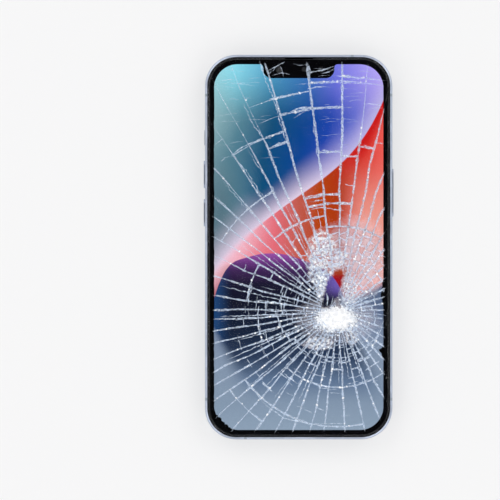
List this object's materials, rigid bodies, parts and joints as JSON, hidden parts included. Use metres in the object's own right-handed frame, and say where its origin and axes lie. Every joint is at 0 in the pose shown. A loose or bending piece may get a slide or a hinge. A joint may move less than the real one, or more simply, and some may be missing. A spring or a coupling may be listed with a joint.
{
  "type": "shattered screen phone",
  "caption": "Slim touchscreen phone lying on its back, with shattered cover glass, side buttons, SIM tray, charging socket and rear cameras.",
  "frame": {"origin": "on the surface that the phone lies on (the plane of the camera rings), under the middle of its frame", "axes": "+X across the phone towards its right edge (power button side), +Y towards its top edge, +Z out of the screen"},
  "size_m": [0.0724, 0.1466, 0.0106],
  "materials": {
    "anodised_frame": "bead-blasted and anodised, satin",
    "antenna_plastic": "satin, colour-matched",
    "rear_glass": "polished, back-painted pale blue",
    "broken_glass": "shattered, clear with white fracture faces",
    "seal": "matt adhesive foam",
    "clear_film": "clear adhesive film",
    "display": "lit panel, plain fields of colour",
    "flex_print": "amber polyimide",
    "battery_pouch": "dark pouch",
    "white_strip": "stretch adhesive",
    "circuit_board": "solder mask",
    "stamped_steel": "stamped, satin",
    "screw_steel": "satin",
    "card_gold": "plastic card with contacts",
    "black_body": "black module housing",
    "lens_glass": "coated lens",
    "lens_cover_glass": "clear cover over black",
    "camera_ring_metal": "polished and anodised",
    "flash_plastic": "warm white diffuser",
    "led_yellow": "LED phosphor",
    "copper": "enamelled copper",
    "magnet_metal": "plated magnet",
    "contact_gold": "gold-plated contact",
    "fine_mesh": "fine dark mesh"
  },
  "bodies": {
    "phone": {"frame": "anodised_frame", "antenna_breaks": "antenna_plastic", "rear_glass": "rear_glass", "rear_seal": "seal", "cover_glass": "broken_glass", "cover_seal": "seal", "adhesive_film": "clear_film", "display_panel": "display", "display_flex": "flex_print", "battery": "battery_pouch", "battery_strips": "white_strip", "battery_flex": "flex_print", "logic_board": "circuit_board", "board_shield": "stamped_steel", "board_screws": "screw_steel", "sim_reader": "stamped_steel", "wide_camera": "black_body", "ultra_wide_camera": "black_body", "wide_lens": "lens_glass", "ultra_wide_lens": "lens_glass", "wide_camera_ring": "camera_ring_metal", "ultra_wide_camera_ring": "camera_ring_metal", "wide_lens_cover": "lens_cover_glass", "ultra_wide_lens_cover": "lens_cover_glass", "camera_bracket": "stamped_steel", "flash_window": "flash_plastic", "flash_module": "led_yellow", "rear_microphone": "black_body", "front_camera": "black_body", "infrared_camera": "black_body", "dot_projector": "black_body", "sensor_bracket": "stamped_steel", "earpiece_speaker": "black_body", "earpiece_mesh": "fine_mesh", "loudspeaker": "black_body", "sound_meshes": "fine_mesh", "bottom_microphone": "contact_gold", "vibration_motor": "stamped_steel", "charging_socket": "stamped_steel", "socket_flex": "flex_print", "bottom_screws": "screw_steel", "charging_coil": "copper", "magnet_ring": "magnet_metal", "power_switch_dome": "contact_gold", "volume_switch_domes": "contact_gold", "ring_switch_contact": "contact_gold"},
    "power_button": {"power_button": "anodised_frame"},
    "volume_up_button": {"volume_up_button": "anodised_frame"},
    "volume_down_button": {"volume_down_button": "anodised_frame"},
    "ring_switch": {"ring_switch": "anodised_frame"},
    "sim_tray": {"sim_tray": "anodised_frame", "sim_card": "card_gold"}
  },
  "joints": [
    {"name": "power_press", "type": "slide", "parent": "phone", "child": "power_button", "axis": [-1, 0, 0], "range_m": [0, 0.00025], "stiffness_N_per_m": 6000},
    {"name": "volume_up_press", "type": "slide", "parent": "phone", "child": "volume_up_button", "axis": [1, 0, 0], "range_m": [0, 0.00025], "stiffness_N_per_m": 6000},
    {"name": "volume_down_press", "type": "slide", "parent": "phone", "child": "volume_down_button", "axis": [1, 0, 0], "range_m": [0, 0.00025], "stiffness_N_per_m": 6000},
    {"name": "ring_switch_slide", "type": "slide", "parent": "phone", "child": "ring_switch", "axis": [0, 0, -1], "range_m": [0, 0.0008]},
    {"name": "sim_tray_pull", "type": "slide", "parent": "phone", "child": "sim_tray", "axis": [-1, 0, 0], "range_m": [0, 0.022]}
  ]
}
